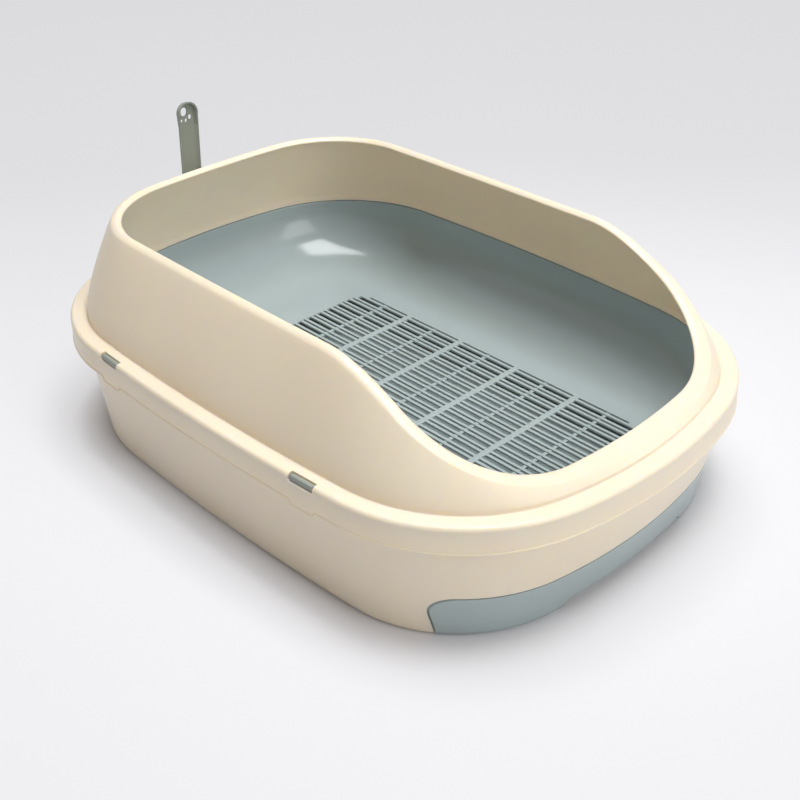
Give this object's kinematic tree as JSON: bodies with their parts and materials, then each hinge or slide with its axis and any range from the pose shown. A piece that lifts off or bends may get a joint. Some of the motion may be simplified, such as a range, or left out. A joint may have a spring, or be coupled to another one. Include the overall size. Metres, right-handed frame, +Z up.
{
  "type": "cat litter box with hood",
  "caption": "Rounded sifting litter box: open splash guard with an S-curve front, slotted sieve pan, waste drawer, bead latches and a hooked scoop.",
  "frame": {"origin": "on the floor under the middle of the bead's outline", "axes": "+X to the right seen from the front, +Y to the back, +Z up"},
  "size_m": [0.407, 0.5733, 0.2322],
  "materials": {
    "cream": "satin moulded polypropylene",
    "blue_grey": "glossy moulded polypropylene",
    "grey": "satin moulded plastic",
    "scoop_grey": "satin moulded plastic"
  },
  "bodies": {
    "tub": {"base_tub": "cream"},
    "drawer": {"waste_drawer": "blue_grey"},
    "pan": {"sieve_pan": "blue_grey"},
    "guard": {"splash_guard": "cream"},
    "latch_left_front": {"clip_left_front": "grey"},
    "latch_left_back": {"clip_left_back": "grey"},
    "latch_right_front": {"clip_right_front": "grey"},
    "latch_right_back": {"clip_right_back": "grey"},
    "scoop": {"litter_scoop": "scoop_grey"}
  },
  "joints": [
    {"name": "drawer_slide", "type": "slide", "parent": "tub", "child": "drawer", "axis": [0, -1, 0], "range_m": [0, 0.3]},
    {"name": "pan_lift", "type": "slide", "parent": "tub", "child": "pan", "axis": [0, 0, 1], "range_m": [0, 0.15]},
    {"name": "guard_lift", "type": "slide", "parent": "pan", "child": "guard", "axis": [0, 0, 1], "range_m": [0, 0.15]},
    {"name": "latch_left_front_hinge", "type": "hinge", "parent": "guard", "child": "latch_left_front", "pos_m": [-0.19314, -0.11668, 0.1082], "axis": [0.0736, -0.9973, 0], "range_deg": [0, 13]},
    {"name": "latch_left_back_hinge", "type": "hinge", "parent": "guard", "child": "latch_left_back", "pos_m": [-0.19792, 0.11686, 0.1082], "axis": [-0.0327, -0.9995, 0], "range_deg": [0, 13]},
    {"name": "latch_right_front_hinge", "type": "hinge", "parent": "guard", "child": "latch_right_front", "pos_m": [0.19314, -0.11668, 0.1082], "axis": [0.0736, 0.9973, 0], "range_deg": [0, 13]},
    {"name": "latch_right_back_hinge", "type": "hinge", "parent": "guard", "child": "latch_right_back", "pos_m": [0.19792, 0.11686, 0.1082], "axis": [-0.0327, 0.9995, 0], "range_deg": [0, 13]},
    {"name": "scoop_lift", "type": "slide", "parent": "guard", "child": "scoop", "axis": [0, 0, 1], "range_m": [0, 0.12]}
  ]
}
